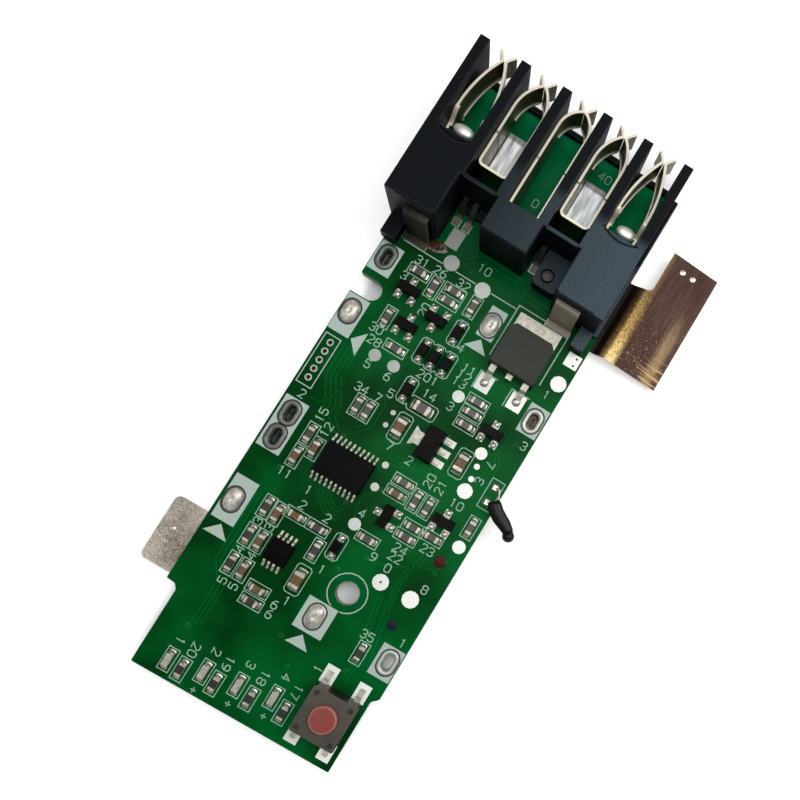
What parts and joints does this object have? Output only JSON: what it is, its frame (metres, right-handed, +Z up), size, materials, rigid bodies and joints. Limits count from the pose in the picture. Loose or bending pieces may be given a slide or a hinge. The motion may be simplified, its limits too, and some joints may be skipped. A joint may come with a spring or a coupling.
{
  "type": "battery management board",
  "caption": "Stepped green circuit board with a black bay connector of forked spring contacts, side weld tabs, a red push button, chips and small surface parts.",
  "frame": {"origin": "centre of the bounding box, on the plane that the part rests on", "axes": "+X across the board towards the wide weld tab, +Y along the board towards the connector's open bays, +Z up from the component side"},
  "size_m": [0.0442, 0.086, 0.0111],
  "materials": {
    "laminate": "green solder mask over glass laminate",
    "white_ink": "white screen print",
    "tinned_copper": "hot air levelled tin",
    "solder": "reflowed solder",
    "black_moulding": "fine grained black moulding",
    "spring_sheet": "nickel plated spring sheet",
    "nickel_strip": "rolled nickel strip",
    "black_plastic": "moulded",
    "cover_sheet": "dull stamped steel",
    "dome_sheet": "spring steel",
    "red_plastic": "moulded",
    "grey_epoxy": "moulded epoxy",
    "black_epoxy": "moulded epoxy",
    "chip_black": "glass coated film",
    "chip_tan": "fired ceramic",
    "chip_white": "clear resin over white base",
    "black_sleeve": "shrunk sleeve"
  },
  "bodies": {
    "board": {"circuit_board": "laminate", "silkscreen": "white_ink", "test_pads": "tinned_copper", "header_pads": "tinned_copper", "slot_rims": "solder", "slot_solder": "solder", "connector_housing": "black_moulding", "contact_1": "spring_sheet", "contact_2": "spring_sheet", "contact_3": "spring_sheet", "contact_4": "spring_sheet", "contact_5": "spring_sheet", "tail_solder": "solder", "outer_solder_legs": "spring_sheet", "part_pads": "tinned_copper", "signal_solder_legs": "spring_sheet", "left_weld_tab": "nickel_strip", "right_weld_tab": "nickel_strip", "switch_base": "black_plastic", "switch_cover": "cover_sheet", "switch_dome": "dome_sheet", "switch_leads": "tinned_copper", "power_transistor_body": "grey_epoxy", "power_transistor_tab": "tinned_copper", "power_transistor_leads": "tinned_copper", "controller_body": "black_epoxy", "controller_leads": "tinned_copper", "monitor_body": "black_epoxy", "monitor_leads": "tinned_copper", "regulator_body": "black_epoxy", "regulator_leads": "tinned_copper", "small_transistor_bodies": "black_epoxy", "small_transistor_leads": "tinned_copper", "diode_bodies": "black_epoxy", "diode_leads": "tinned_copper", "resistor_bodies": "chip_black", "resistor_ends": "tinned_copper", "chip_solder": "solder", "capacitor_bodies": "chip_tan", "capacitor_ends": "tinned_copper", "led_bodies": "chip_white", "led_ends": "tinned_copper", "probe_solder": "solder", "probe_wires": "tinned_copper", "probe_sleeve": "black_sleeve", "probe_bead": "black_sleeve"},
    "button": {"switch_button": "red_plastic"}
  },
  "joints": [
    {"name": "button_press", "type": "slide", "parent": "board", "child": "button", "axis": [0, 0, -1], "range_m": [0, 0.00025], "stiffness_N_per_m": 6000}
  ]
}
